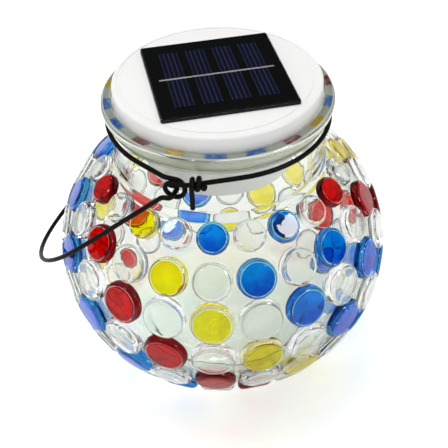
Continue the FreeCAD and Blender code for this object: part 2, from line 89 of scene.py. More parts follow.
def spinProfile(name, profile, steps, smoothAngle=40, mergeWithin=0.002):
    # profile is a list of (radius, height) in millimetres
    piece = traceLine(name, [Vector((r * mm, 0, z * mm)) for r, z in profile])
    bpy.ops.mesh.select_all(action="SELECT")
    bpy.ops.mesh.spin(steps=steps, angle=2 * math.pi, center=(0, 0, 0), axis=(0, 0, 1))
    bpy.ops.mesh.select_all(action="SELECT")
    bpy.ops.mesh.remove_doubles(threshold=mergeWithin * mm)
    bpy.ops.mesh.normals_make_consistent(inside=False)
    bpy.ops.object.mode_set(mode="OBJECT")
    bpy.ops.object.shade_smooth_by_angle(angle=math.radians(smoothAngle))
    return piece


def roundCorners(points, steps=5):
    # points are (r, z) or (r, z, round), and a corner with a round becomes an arc
    line = []
    for i, point in enumerate(points):
        if len(point) == 2:
            line.append(point)
            continue
        before, corner, after = [Vector(p[:2]) for p in points[i - 1:i + 2]]
        arriving = (corner - before).normalized()
        leaving = (after - corner).normalized()
        half = arriving.angle(leaving) / 2
        reach = point[2] * math.tan(half)
        middle = corner + (leaving - arriving).normalized() * (point[2] / math.cos(half))
        start = corner - arriving * reach - middle
        end = corner + leaving * reach - middle
        for k in range(steps + 1):
            line.append(tuple(middle + start.slerp(end, k / steps) * point[2]))
    return line


def bisect(low, high, rising, halvings=50):
    # where a rising function of one value crosses nought
    for _ in range(halvings):
        middle = (low + high) / 2
        if rising(middle) < 0:
            low = middle
        else:
            high = middle
    return high


# Glass jar

jarForm = {
    "ballRadius": 64.0, "ballHalfHeight": 57.0, "ballCentre": 47.5, "wall": 3.5, "floor": 6.0,
    "footRound": 3.0, "pushUpRadius": 21.98, "pushUpDepth": 1.5, "footSteps": 20,
    "neckRadius": 40.684, "boreRadius": 36.484, "shoulderRound": 5.0, "bendSteps": 8,
    "rimRadius": 43.584, "rimBottom": 112.5, "rimTop": 120.0, "rimRound": 1.8, "rimBand": 3.0,
    "rimTaper": 2.1, "rimBend": 4.0, "rimFootRound": 0.5, "lipRound": 0.9,
    "socketRadius": 39.484, "ledge": 114.0, "softEdge": 0.7, "sideSteps": 56, "turns": 160,
}


def ballPoint(halfWidth, halfHeight, angle):
    return Vector((halfWidth * math.cos(angle), jarForm["ballCentre"] + halfHeight * math.sin(angle)))


def ballNormal(halfWidth, halfHeight, angle):
    return Vector((math.cos(angle) / halfWidth, math.sin(angle) / halfHeight)).normalized()


def ballWall(halfWidth, halfHeight, level, neck):
    # one side of the glass from the floor to the neck, both bends included
    foot, shoulder = jarForm["footRound"], jarForm["shoulderRound"]

    def offWall(angle, reach):
        normal = ballNormal(halfWidth, halfHeight, angle)
        return ballPoint(halfWidth, halfHeight, angle) + normal * reach

    low = bisect(-math.pi / 2, 0, lambda angle: offWall(angle, -foot).y - level - foot)
    high = bisect(0, math.pi / 2, lambda angle: neck + shoulder - offWall(angle, shoulder).x)
    normal = ballNormal(halfWidth, halfHeight, low)
    tilt = math.atan2(normal.y, normal.x)
    bends, steps = jarForm["bendSteps"], jarForm["sideSteps"]
    line = []
    for k in range(bends):
        turn = -math.pi / 2 + (tilt + math.pi / 2) * k / bends
        line.append(offWall(low, -foot) + Vector((math.cos(turn), math.sin(turn))) * foot)
    line += [ballPoint(halfWidth, halfHeight, low + (high - low) * k / steps) for k in range(steps + 1)]
    normal = ballNormal(halfWidth, halfHeight, high)
    tilt = math.atan2(normal.y, normal.x)
    for k in range(1, bends + 1):
        turn = math.pi + tilt * (1 - k / bends)
        line.append(offWall(high, shoulder) + Vector((math.cos(turn), math.sin(turn))) * shoulder)
    return [tuple(point) for point in line]


def makeJar():
    j = jarForm
    soft = j["softEdge"]
    innerWidth, innerHeight = j["ballRadius"] - j["wall"], j["ballHalfHeight"] - j["wall"]
    outside = ballWall(j["ballRadius"], j["ballHalfHeight"], 0, j["neckRadius"])
    inside = ballWall(innerWidth, innerHeight, j["floor"], j["boreRadius"])
    foot = []
    for k in range(j["footSteps"]):   # a soft hollow under the floor
        share = k / j["footSteps"]
        foot.append((j["pushUpRadius"] * share, j["pushUpDepth"] * (1 + math.cos(math.pi * share)) / 2))
    rim = [
        (j["neckRadius"], j["rimBottom"], soft),
        (j["rimRadius"] - j["rimTaper"], j["rimBottom"], j["rimFootRound"]),
        (j["rimRadius"], j["rimTop"] - j["rimBand"], j["rimBend"]),
        (j["rimRadius"], j["rimTop"], j["rimRound"]),
        (j["socketRadius"], j["rimTop"], j["lipRound"]),
        (j["socketRadius"], j["ledge"], soft / 2),
        (j["boreRadius"], j["ledge"], soft),
    ]
    profile = roundCorners(foot + outside + rim + inside[::-1] + [(0, j["floor"])])
    return spinProfile("glassJar", profile, j["turns"])


glassJar = makeJar()
print("jar spun:", len(glassJar.data.polygons), "faces")


# Gems, one made for each row and copied round

gemForm = {
    "columns": 22, "rowAngles": [44.0, 29.14, 13.46, -3.64, -20.33, -36.11], "gap": 1.15,
    "height": 3.0, "side": 1.3, "tableShare": 0.78, "dome": 0.15, "domeRings": [0.75, 0.4],
    "shoulderTurn": 50, "shoulderSteps": 4, "root": 1.6, "backInset": 0.5, "backWithin": 0.1,
    "glue": 0.1, "sides": 32, "smoothAngle": 40, "rootReach": 1.3, "backReach": 2,
    "diagonals": ["blue", "blue", "red", "yellow", "blue", "red", "yellow", "blue", "blue", "red",
                  "yellow"],
}


def makeGem(row):
    g, j = gemForm, jarForm
    angle = math.radians(g["rowAngles"][row])
    ring = j["ballRadius"] * math.cos(angle)
    radius = ring * math.pi / g["columns"] - g["gap"] / 2
    table = g["tableShare"] * radius
    edge = g["height"] - g["dome"]
    clearSelection()
    bpy.ops.mesh.primitive_cylinder_add(vertices=g["sides"], radius=radius * mm,
                                        depth=(g["root"] + g["side"]) * mm,
                                        location=(0, 0, (g["side"] - g["root"]) / 2 * mm))
    bpy.ops.object.transform_apply(location=True)
    gem = bpy.context.object
    last = math.radians(g["shoulderTurn"])
    rings = []
    for k in range(1, g["shoulderSteps"] + 1):
        turn = last * k / g["shoulderSteps"]
        inward = (radius - table) * (1 - math.cos(turn)) / (1 - math.cos(last))
        upward = (edge - g["side"]) * math.sin(turn) / math.sin(last)
        rings.append((radius - inward, g["side"] + upward))
    tableStep = len(rings)
    for share in g["domeRings"]:
        rings.append((table * share, g["height"] - g["dome"] * share ** 2))
    pickFaces(gem, lambda face: face.normal.z > 0.9)
    width, level = radius, g["side"]
    for step, (newWidth, newLevel) in enumerate(rings):
        if step == tableStep:
            bpy.ops.mesh.mark_sharp()   # the crisp edge of the table
        lift = (0, 0, (newLevel - level) * mm)
        bpy.ops.mesh.extrude_region_move(TRANSFORM_OT_translate={"value": lift})
        shrink = newWidth / width
        bpy.ops.transform.resize(value=(shrink, shrink, 1), center_override=(0, 0, 0))
        width, level = newWidth, newLevel
    bpy.ops.mesh.poke(offset=(g["height"] - level) * mm)
    pickFaces(gem, lambda face: face.normal.z < -0.9)
    bpy.ops.mesh.inset(thickness=radius * g["backInset"] * mm)
    bpy.ops.mesh.poke()
    bpy.ops.object.mode_set(mode="OBJECT")
    # reach is nought at the middle and 1 at the side, with values of its own at the root and back
    reach = gem.data.attributes.new("reach", "FLOAT", "CORNER")
    # rise is -1 at the lowest point and 1 at the highest
    rise = gem.data.attributes.new("rise", "FLOAT", "CORNER")
    for face in gem.data.polygons:
        for corner in face.loop_indices:
            spot = gem.data.vertices[gem.data.loops[corner].vertex_index].co
            out = g["rootReach"] if spot.z < 0 else min(1, spot.xy.length / (radius * mm))
            reach.data[corner].value = g["backReach"] if face.normal.z < -0.5 else out
            rise.data[corner].value = spot.y / (radius * mm)
    back = gem.vertex_groups.new(name="back")
    lowest = (g["backWithin"] - g["root"]) * mm
    back.add([v.index for v in gem.data.vertices if v.co.z < lowest], 1, "REPLACE")
    lean = math.atan2(math.sin(angle) / j["ballHalfHeight"], math.cos(angle) / j["ballRadius"])
    gem.rotation_euler = (math.pi / 2 - lean, 0, 0)
    gem.location = (0, -ring * mm, (j["ballCentre"] + j["ballHalfHeight"] * math.sin(angle)) * mm)
    seat = gem.modifiers.new("seat", "SHRINKWRAP")   # the back takes the curve of the ball
    seat.target = glassJar
    seat.wrap_method = "PROJECT"
    seat.use_project_z = True
    seat.use_positive_direction = True
    seat.wrap_mode = "ABOVE_SURFACE"
    seat.offset = g["glue"] * mm
    seat.vertex_group = "back"
    pickOnly(gem)
    bpy.ops.object.modifier_apply(modifier="seat")
    bpy.ops.object.transform_apply(location=True, rotation=True)
    bpy.ops.object.shade_smooth_by_angle(angle=math.radians(g["smoothAngle"]))
    return gem


def gemColour(column, row):
    diagonal = column - 1 - row
    if diagonal % 2:
        return "clear"
    return gemForm["diagonals"][(diagonal // 2) % len(gemForm["diagonals"])]


def makeGemRow(row):
    first = makeGem(row)
    groups = {}
    for column in range(gemForm["columns"]):
        pickOnly(first)
        bpy.ops.object.duplicate()
        copy = bpy.context.object
        copy.rotation_euler = (0, 0, 2 * math.pi * column / gemForm["columns"])
        bpy.ops.object.transform_apply(rotation=True)
        groups.setdefault(gemColour(column, row), []).append(copy)
    bpy.data.objects.remove(first)
    joined = {}
    for colour, copies in groups.items():
        pickOnly(copies[0])
        for copy in copies:
            copy.select_set(True)
        bpy.ops.object.join()
        copies[0].name = colour + "GemsRow" + str(row + 1)
        joined[colour] = copies[0]
    return joined


gemRows = [makeGemRow(row) for row in range(len(gemForm["rowAngles"]))]
print("gems set:", sum(len(row) for row in gemRows), "groups")


# Lid cap

capForm = {
    "radius": 38.984, "bottom": 115.051, "top": 125.551, "wall": 2.0, "edgeRound": 1.0,
    "grooveRadius": 37.184, "grooveWidth": 1.9, "grooveDepth": 0.3, "softEdge": 0.14, "turns": 144,
}


def makeCap():
    c = capForm
    soft = c["softEdge"]
    grooveInside = c["grooveRadius"] - c["grooveWidth"]
    grooveFloor = c["top"] - c["grooveDepth"]
    profile = roundCorners([
        (0, c["top"]),
        (grooveInside, c["top"], soft),
        (grooveInside, grooveFloor, soft),
        (c["grooveRadius"], grooveFloor, soft),
        (c["grooveRadius"], c["top"], soft),
        (c["radius"], c["top"], c["edgeRound"]),
        (c["radius"], c["bottom"], soft),
        (c["radius"] - c["wall"], c["bottom"], soft),
        (c["radius"] - c["wall"], c["top"] - c["wall"], soft),
        (0, c["top"] - c["wall"]),
    ])
    return spinProfile("lidCap", profile, c["turns"])


lidCap = makeCap()
print("cap spun")


# Wire ring, bindings and bail

wireForm = {
    "radius": 0.9, "gap": 0.35, "ringRadius": 41.934, "ringHeight": 110.501, "hingeHeight": 105.851,
    "innerCrest": 43.734, "outerCrest": 46.034, "eyeRadius": 3.4, "eyeLead": 3.0, "eyeBend": 6.0,
    "wrapRadius": 1.88, "wrapPitch": 2.3, "wrapTurns": 2, "wrapTail": 9.0, "tailSteps": 4,
    "droop": 41.7, "crank": 3.2, "archRadius": 52.011, "reach": 103.935, "hookBend": 1.6,
    "hookReturn": 3.4, "stepAngle": 9.0, "sides": 4, "smoothAngle": 50,
}


def arcSteps(turn):
    return max(2, round(abs(math.degrees(turn)) / wireForm["stepAngle"]))


def halfTurn(start, heading, diameter):
    middle = start + diameter / 2
    out = heading * (diameter.length / 2)
    steps = arcSteps(math.pi)
    angles = [math.pi * k / steps for k in range(1, steps + 1)]
    return [middle - diameter / 2 * math.cos(a) + out * math.sin(a) for a in angles]


def fullTurn(start, heading, across, advance, radius):
    out = halfTurn(start, heading, across * 2 * radius + advance / 2)
    return out + halfTurn(out[-1], -heading, -across * 2 * radius + advance / 2)


def bendOut(crest, side):
    # the run beside the front eye: where it leaves the ring, and the bend out to the eye
    w = wireForm
    straight = crest - w["eyeBend"]
    lean = math.atan2(w["eyeLead"], straight)
    angle = lean + math.acos((w["ringRadius"] - w["eyeBend"]) / math.hypot(w["eyeLead"], straight))
    leave = Vector((side * w["ringRadius"] * math.sin(angle), -w["ringRadius"] * math.cos(angle),
                    w["ringHeight"]))
    middle = Vector((side * w["eyeLead"], -straight, w["ringHeight"]))
    steps = arcSteps(angle)
    turns = [angle * (1 - k / steps) for k in range(steps + 1)]
    bend = [middle + Vector((side * math.sin(t), -math.cos(t), 0)) * w["eyeBend"] for t in turns]
    return leave, bend, angle


def turnedRound(points):
    return [Vector((-p.x, -p.y, p.z)) for p in points]


def wirePiece(name, points, closed=False):
    piece = traceLine(name, [p * mm for p in points], closed)
    bpy.ops.object.mode_set(mode="OBJECT")
    bpy.ops.object.convert(target="CURVE")
    piece.data.bevel_depth = wireForm["radius"] * mm
    piece.data.bevel_resolution = wireForm["sides"]
    piece.data.use_fill_caps = True
    bpy.ops.object.convert(target="MESH")
    bpy.ops.object.shade_smooth_by_angle(angle=math.radians(wireForm["smoothAngle"]))
    return piece


def makeNeckWire():
    w = wireForm
    leaveIn, bendIn, angleIn = bendOut(w["innerCrest"], -1)
    leaveOut, bendOutward, angleOut = bendOut(w["outerCrest"], 1)
    enter = Vector((0, -w["innerCrest"], w["ringHeight"]))
    advance = Vector((0, w["innerCrest"] - w["outerCrest"], 0))
    half = [leaveIn] + bendIn + [enter]
    half += fullTurn(enter, Vector((1, 0, 0)), Vector((0, 0, -1)), advance, w["eyeRadius"])
    half += bendOutward[::-1] + [leaveOut]
    first = angleOut - math.pi / 2
    last = math.pi / 2 - angleIn
    steps = arcSteps(last - first) * 2
    for k in range(1, steps):
        angle = first + (last - first) * k / steps
        spoke = Vector((math.cos(angle), math.sin(angle), 0)) * w["ringRadius"]
        half.append(spoke + Vector((0, 0, w["ringHeight"])))
    return wirePiece("neckWire", half + turnedRound(half), closed=True)


def bindingStart():
    leave, bend, _ = bendOut(wireForm["outerCrest"], 1)
    run = (leave - bend[0]).normalized()
    outward = run.cross(Vector((0, 0, 1)))
    return bend[0] + outward * wireForm["wrapRadius"], run, outward


def makeEyeWraps():
    w = wireForm
    up = Vector((0, 0, 1))
    place, run, outward = bindingStart()
    steps = w["tailSteps"]
    points = [place - up * w["wrapTail"] * (1 - k / steps) for k in range(steps + 1)]
    for _ in range(w["wrapTurns"]):
        points += fullTurn(points[-1], up, -outward, run * w["wrapPitch"], w["wrapRadius"])
    front = wirePiece("eyeWrap", points)
    back = wirePiece("eyeWrapBack", turnedRound(points))
    pickOnly(front)
    back.select_set(True)
    bpy.ops.object.join()
    front.name = "eyeWraps"
    return front


def bentPath(points, radii):
    # straight runs with a round at each inner corner
    path = [points[0]]
    for before, corner, after, radius in zip(points, points[1:], points[2:], radii):
        arriving = (corner - before).normalized()
        leaving = (after - corner).normalized()
        half = arriving.angle(leaving) / 2
        middle = corner + (leaving - arriving).normalized() * (radius / math.cos(half))
        start = corner - arriving * radius * math.tan(half) - middle
        end = corner + leaving * radius * math.tan(half) - middle
        steps = arcSteps(2 * half)
        path += [middle + start.slerp(end, k / steps) * radius for k in range(steps + 1)]
    return path


def makeBail():
    w = wireForm
    legY = 2 * w["radius"] + w["gap"] - bindingStart()[0].y
    droop = math.radians(w["droop"])
    drop = Vector((-math.cos(droop), 0, -math.sin(droop)))
    crankAlong = w["crank"] / math.cos(droop)
    planeTop = Vector((-w["crank"], 0, w["hingeHeight"])) - drop * crankAlong
    archStart = w["reach"] - w["archRadius"]
    away = math.hypot(legY, archStart - crankAlong)
    tilt = math.acos(w["archRadius"] / away) - math.atan2(archStart - crankAlong, legY)

    def archPoint(angle):
        along = archStart + w["archRadius"] * math.sin(angle)
        return planeTop + drop * along + Vector((0, -w["archRadius"] * math.cos(angle), 0))

    pinIn = Vector((0, -w["ringRadius"], w["hingeHeight"]))
    pinOut = Vector((0, -legY, w["hingeHeight"]))
    crank = Vector((-w["crank"], -legY, w["hingeHeight"]))
    tip = pinIn - Vector((w["hookReturn"], 0, 0))
    rounds = [w["hookBend"], w["hookBend"], 2 * w["hookBend"]]
    front = bentPath([tip, pinIn, pinOut, crank, archPoint(tilt)], rounds)
    steps = arcSteps(math.pi - 2 * tilt) * 2
    arch = [archPoint(tilt + (math.pi - 2 * tilt) * k / steps) for k in range(steps + 1)]
    rear = [Vector((p.x, -p.y, p.z)) for p in reversed(front)]
    return wirePiece("bailHandle", front + arch + rear)


neckWire = makeNeckWire()
eyeWraps = makeEyeWraps()
bailHandle = makeBail()
print("wires bent")


# Finishes

class Link:
    # a socket that takes part in sums
    def __init__(self, finish, socket):
        self.finish = finish
        self.socket = socket

    def __add__(self, other):
        return self.finish.maths("ADD", self, other)

    def __radd__(self, other):
        return self.finish.maths("ADD", other, self)

    def __sub__(self, other):
        return self.finish.maths("SUBTRACT", self, other)

    def __rsub__(self, other):
        return self.finish.maths("SUBTRACT", other, self)

    def __mul__(self, other):
        return self.finish.maths("MULTIPLY", self, other)

    def __rmul__(self, other):
        return self.finish.maths("MULTIPLY", other, self)

    def __truediv__(self, other):
        return self.finish.maths("DIVIDE", self, other)

    def __lt__(self, other):
        return self.finish.maths("LESS_THAN", self, other)


class Finish:
    # the nodes of one material, or of the world
    def __init__(self, name, owner=None):
        self.owner = owner or bpy.data.materials.new(name)
        self.owner.use_nodes = True
        self.tree = self.owner.node_tree
        self.tree.nodes.clear()

    def node(self, kind, settings=None, inputs=None, output=0):
        made = self.tree.nodes.new(kind)
        for key, value in (settings or {}).items():
            if key == "stops":
                ramp = made.color_ramp
                while len(ramp.elements) < len(value):
                    ramp.elements.new(0.5)
                ramp.interpolation = "CONSTANT"
                for stop, (place, colour) in zip(ramp.elements, value):
                    stop.position = place
                    stop.color = (*colour, 1)
            else:
                setattr(made, key, value)
        for key, value in (inputs or {}).items():
            if isinstance(value, Link):
                self.tree.links.new(value.socket, made.inputs[key])
            else:
                made.inputs[key].default_value = value
        return Link(self, made.outputs[output]) if made.outputs else made

    def maths(self, operation, first, second):
        return self.node("ShaderNodeMath", {"operation": operation}, {0: first, 1: second})

    def place(self, turn=0.0):
        # object coordinates, turned about +Z
        coordinates = self.node("ShaderNodeTexCoord", output="Object")
        inputs = {"Vector": coordinates, "Rotation": (0, 0, math.radians(turn))}
        return self.node("ShaderNodeMapping", {"vector_type": "TEXTURE"}, inputs)

    def axis(self, index, turn=0.0):
        return self.node("ShaderNodeSeparateXYZ", None, {0: self.place(turn)}, output=index)

    def noise(self, scale, detail=3.0, rough=0.5):
        inputs = {"Vector": self.place(), "Scale": scale, "Detail": detail, "Roughness": rough}
        return self.node("ShaderNodeTexNoise", None, inputs)

    def blend(self, share, first, second):
        inputs = {"Factor": share}   # sockets 6 and 7 take the two colours
        for socket, colour in ((6, first), (7, second)):
            plain = isinstance(colour, tuple) and len(colour) == 3
            inputs[socket] = (*colour, 1) if plain else colour
        return self.node("ShaderNodeMix", {"data_type": "RGBA"}, inputs, output=2)

    def ramp(self, value, low, high):
        inputs = {"Value": value, "From Min": low, "From Max": high}
        return self.node("ShaderNodeMapRange", None, inputs)

    def span(self, value, ends):
        # nought at the first end and 1 at the second, in millimetres
        return self.ramp(value, *[end * mm for end in ends])

    def bump(self, height, strength, depth):
        inputs = {"Height": height, "Strength": strength, "Distance": depth * mm}
        return self.node("ShaderNodeBump", None, inputs)

    def surface(self, shader, body=None):
        inputs = {"Surface": shader}
        if body:
            inputs["Volume"] = body
        self.node("ShaderNodeOutputMaterial", None, inputs)
        return self.owner


def shade(colour, factor):
    return (*[min(1, c * factor) for c in colour], 1)


# each pair is where a tint starts and ends: low goes by rise, arcs and cloud by noise, the rest by reach
# the table and the two lines round it are set off from the edge of the colour
# the bright line is a painted highlight; the dark line, the root line and low are painted shade
gemShade = {
    "edge": 0.87, "table": (-0.025, -0.035), "highlightLine": (0.01, 0.0), "shadeLine": (0.08, 0.06),
    "rootShadeLine": (1.08, 1.18), "front": (1.6, 1.5), "low": (0.3, -0.7), "arcs": (0.46, 0.54),
    "cloud": (0.33, 0.67), "arcsInDeep": 0.25, "leastRootShade": 0.25, "leastShadeLine": 0.4,
}


def gemTable(finish, look, cloud):
    # the table holds the colour, inside a painted highlight line and a painted shade line,
    # the flank deepens downwards in painted shade, and a painted shade line runs round the root
    g = gemShade
    reach, rise = [finish.node("ShaderNodeAttribute", {"attribute_name": name}, output="Fac")
                   for name in ("reach", "rise")]
    arcs = finish.ramp(finish.noise(look["arcScale"], detail=1.0), *g["arcs"])
    front = finish.ramp(reach, *g["front"])
    low = finish.ramp(rise, *g["low"])

    def fromEdge(span):
        return finish.ramp(reach, *[g["edge"] + end for end in span])

    def broken(least):   # a line that is fainter in places
        return least + (1 - least) * arcs

    # painted shade: the flank turns to its deep colour towards its bottom (low), mixed with random arcs
    deepAndShadeShare = (g["arcsInDeep"] * arcs + (1 - g["arcsInDeep"]) * low) * front * look["arcShare"]
    # painted shade: a dark line just outside the painted highlight ring, and one round the root where
    # the gem meets the jar, both broken in places
    rootShadeLine = finish.ramp(reach, *g["rootShadeLine"]) * front * broken(g["leastRootShade"])
    shadeLine = fromEdge(g["shadeLine"]) * broken(g["leastShadeLine"])
    side = finish.blend(front, look["back"], look["flank"])
    side = finish.blend(deepAndShadeShare, side, look["deep"])
    side = finish.blend(rootShadeLine, side, look["line"])
    side = finish.blend(shadeLine, side, look["line"])
    # painted highlight: a ring of the look's ring colour round the table, just inside the edge of the
    # colour
    side = finish.blend(fromEdge(g["highlightLine"]), side, look["ring"])
    # painted light and shade: the table's random mottle is shifted by height, lighter towards the top,
    # and towards the bottom where the look's share is negative (yellow)
    mottleAndShade = finish.ramp(cloud + rise * look["shadeByHeight"], *g["cloud"])
    table = finish.blend(mottleAndShade, look["deep"], look["colour"])
    return finish.blend(fromEdge(g["table"]), side, table)


rimRefractionLook = {
    "lift": (118.2, 118.7), "reach": (42.75, 42.5), "line": (43.3, 43.1), "share": 0.78,
    "highlightLineShare": 0.5, "squeeze": 0.6, "shift": 0.51, "ragged": 0.8, "raggedScale": 500, "worn": 0.5,
    "wornScale": 2500, "pale": (0.45, 0.75), "paleScale": 600, "paleShare": 0.45, "rough": 0.1,
    "lineColour": (0.84, 0.87, 0.82), "clear": (0.31, 0.34, 0.285), "blue": (0.01, 0.09, 0.32),
    "red": (0.11, 0.002, 0.004), "yellow": (0.38, 0.25, 0.004),
}


def paintedRimRefraction(finish, look, glass):
    # painted refraction: the thick rim gathers the colours of the gems below it, drawn closer together,
    # painted onto its top, with a painted highlight line along its outer edge
    r, columns = rimRefractionLook, gemForm["columns"]
    around = finish.node("ShaderNodeTexGradient", {"gradient_type": "RADIAL"}, {0: finish.place()},
                         output=1)
    column = ((around - 0.25) * columns - r["shift"]) / r["squeeze"]   # the first column is at -Y
    column = column + (finish.noise(r["raggedScale"], detail=4.0, rough=0.7) - 0.5) * r["ragged"]
    column = column + (finish.noise(r["wornScale"], detail=1.0) - 0.5) * r["worn"] + 0.5
    wrapped = finish.node("ShaderNodeMath", {"operation": "FRACT"}, {0: column / columns})
    stops = [(k / columns, r[gemColour(k, 0)]) for k in range(columns)]
    tint = finish.node("ShaderNodeValToRGB", {"stops": stops}, {0: wrapped})
    pale = finish.ramp(finish.noise(r["paleScale"]), *r["pale"])
    tint = finish.blend(pale * r["paleShare"], tint, r["clear"])
    x, y, z = [finish.axis(k) for k in range(3)]
    radius = finish.maths("POWER", x * x + y * y, 0.5)
    inner = finish.span(radius, r["reach"])
    # painted highlight: the pale line colour lies along the rim's outer edge
    tint = finish.blend(inner, r["lineColour"], tint)
    body = finish.node("ShaderNodeBsdfPrincipled", None,
                       {"Base Color": tint, "Roughness": r["rough"], "IOR": look["ior"]})
    share = finish.span(z, r["lift"]) * finish.span(radius, r["line"])
    share = share * (r["highlightLineShare"] + (r["share"] - r["highlightLineShare"]) * inner)
    return finish.node("ShaderNodeMixShader", None, {0: share, 1: glass, 2: body})


glassBase = {
    "rough": 0.0, "ior": 1.5, "cloudDetail": 4.0, "cloudRough": 0.65, "cloudSpan": (0.35, 0.65),
}
gemBase = {
    "arcScale": 90, "cloudScale": 150, "waveScale": 120, "waveStrength": 0.25, "waveDepth": 0.2,
}
# in the gem looks, ring is the colour of a painted highlight, line that of painted shade lines, and the
# height share sets a painted shading from top to bottom
glassLooks = {
    "jarGlass": {
        "colour": (0.985, 0.99, 0.985), "deep": (0.965, 0.975, 0.965), "shadow": (0.945, 0.95, 0.94),
        "gloss": 0.9, "cloudScale": 20, "waveScale": 70, "waveStrength": 0.3, "waveDepth": 0.3,
        "body": (0.73, 0.775, 0.67), "density": 58.0,
        "collarShade": (0.80, 0.815, 0.74), "collarSpan": (111.5, 113.0),
    },
    "clearGemGlass": {
        **gemBase, "gloss": 0.9, "arcShare": 0.6, "shadeByHeight": 0.1, "cloudScale": 60,
        "colour": (0.98, 0.985, 0.985), "deep": (0.90, 0.925, 0.915), "shadow": (0.96, 0.965, 0.96),
        "ring": (1.0, 1.0, 1.0), "line": (0.15, 0.17, 0.16), "back": (0.97, 0.975, 0.97),
        "flank": (0.97, 0.975, 0.97),
    },
    "blueGemGlass": {
        **gemBase, "gloss": 0.6, "arcShare": 0.9, "shadeByHeight": 0.25,
        "colour": (0.0, 0.085, 0.92), "deep": (0.0, 0.012, 0.55), "shadow": (0.6, 0.8, 0.98),
        "ring": (0.75, 0.88, 1.0), "line": (0.0, 0.004, 0.05), "back": (0.30, 0.80, 0.95),
        "flank": (0.04, 0.36, 0.70),
    },
    "redGemGlass": {
        **gemBase, "gloss": 0.35, "arcShare": 0.9, "shadeByHeight": 0.08,
        "colour": (0.62, 0.0, 0.0), "deep": (0.34, 0.0, 0.0), "shadow": (0.95, 0.65, 0.65),
        "ring": (1.0, 0.8, 0.78), "line": (0.02, 0.0, 0.0), "back": (0.90, 0.42, 0.40),
        "flank": (0.09, 0.002, 0.004),
    },
    "yellowGemGlass": {
        **gemBase, "gloss": 0.6, "arcShare": 0.7, "shadeByHeight": -0.12,
        "colour": (0.90, 0.76, 0.0), "deep": (0.68, 0.50, 0.0), "shadow": (0.97, 0.95, 0.7),
        "ring": (1.0, 0.97, 0.75), "line": (0.10, 0.055, 0.0), "back": (0.95, 0.93, 0.72),
        "flank": (0.95, 0.93, 0.72),
    },
    "lampEpoxy": {
        "colour": (0.95, 0.95, 0.92), "deep": (0.92, 0.92, 0.88), "shadow": (0.9, 0.9, 0.88),
        "rough": 0.05, "ior": 1.52, "gloss": 1.0, "cloudScale": 200, "waveScale": 300,
        "waveStrength": 0.1, "waveDepth": 0.1,
    },
    "panelResinClear": {
        "colour": (0.97, 0.97, 0.97), "deep": (0.95, 0.95, 0.95), "shadow": (0.97, 0.97, 0.97),
        "gloss": 0.8, "cloudScale": 40, "waveScale": 160, "waveStrength": 0.005, "waveDepth": 0.1,
    },
}


def glassFinish(name, ownLook):
    look = {**glassBase, **ownLook}
    finish = Finish(name)
    cloud = finish.noise(look["cloudScale"], look["cloudDetail"], look["cloudRough"])
    wave = finish.noise(look["waveScale"], detail=2.0)
    if "flank" in look:
        colour = gemTable(finish, look, cloud)
    else:
        colour = finish.blend(finish.ramp(cloud, *look["cloudSpan"]), look["deep"], look["colour"])
    # partly the thick rim's own tint, partly painted shade: the glass above the collar span is darker
    # and greener
    if "collarShade" in look:
        colour = finish.blend(finish.span(finish.axis(2), look["collarSpan"]), colour, look["collarShade"])
    glass = finish.node("ShaderNodeBsdfPrincipled", None, {
        "Base Color": colour, "Roughness": look["rough"], "IOR": look["ior"],
        "Transmission Weight": 1.0, "Specular Tint": (*[look["gloss"]] * 3, 1),
        "Normal": finish.bump(wave, look["waveStrength"], look["waveDepth"]),
    })
    # painted refraction of the gems and a painted highlight line on the rim's top
    if "collarShade" in look:
        glass = paintedRimRefraction(finish, look, glass)
    through = finish.node("ShaderNodeBsdfTransparent", None, {"Color": (*look["shadow"], 1)})
    shadowRay = finish.node("ShaderNodeLightPath", output="Is Shadow Ray")
    mixed = finish.node("ShaderNodeMixShader", None, {0: shadowRay, 1: glass, 2: through})
    if "body" not in look:
        return finish.surface(mixed)
    body = finish.node("ShaderNodeVolumeAbsorption", None,
                       {"Color": (*look["body"], 1), "Density": look["density"]})
    return finish.surface(mixed, body)


plasticBase = {
    "cloudScale": 90, "deep": 0.94, "roughSpread": 0.1, "specular": 0.5, "glow": 0.0, "ior": 1.47,
    "grainScale": 2500, "grainStrength": 0.15, "grainDepth": 0.03,
}
plasticLooks = {
    "capWhite": {"colour": (0.90, 0.895, 0.885), "deep": 0.985, "rough": 0.32, "grainStrength": 0.08},
    # the housing glows a little: painted light for the light that passes through its thin plastic
    "housingWhite": {"colour": (0.95, 0.95, 0.94), "rough": 0.45, "deep": 0.98, "glow": 0.06,
                     "specular": 0.1},
    "sealSilicone": {"colour": (0.80, 0.80, 0.79), "rough": 0.5},
    "batterySleeve": {"colour": (0.08, 0.35, 0.16), "rough": 0.35},
    "circuitGreen": {"colour": (0.03, 0.22, 0.09), "rough": 0.4},
    "switchBlack": {"colour": (0.03, 0.03, 0.03), "rough": 0.45},
    "leadRed": {"colour": (0.55, 0.03, 0.03), "rough": 0.45},
    "leadBlack": {"colour": (0.02, 0.02, 0.02), "rough": 0.45},
    "panelBlack": {"colour": (0.009, 0.0103, 0.0097), "rough": 0.3, "deep": 0.75, "specular": 0.2},
    "wireBlack": {"colour": (0.006, 0.006, 0.006), "specular": 0.08, "rough": 0.42, "deep": 0.6,
                  "roughSpread": 0.25, "grainScale": 900, "grainStrength": 0.25, "grainDepth": 0.06},
}


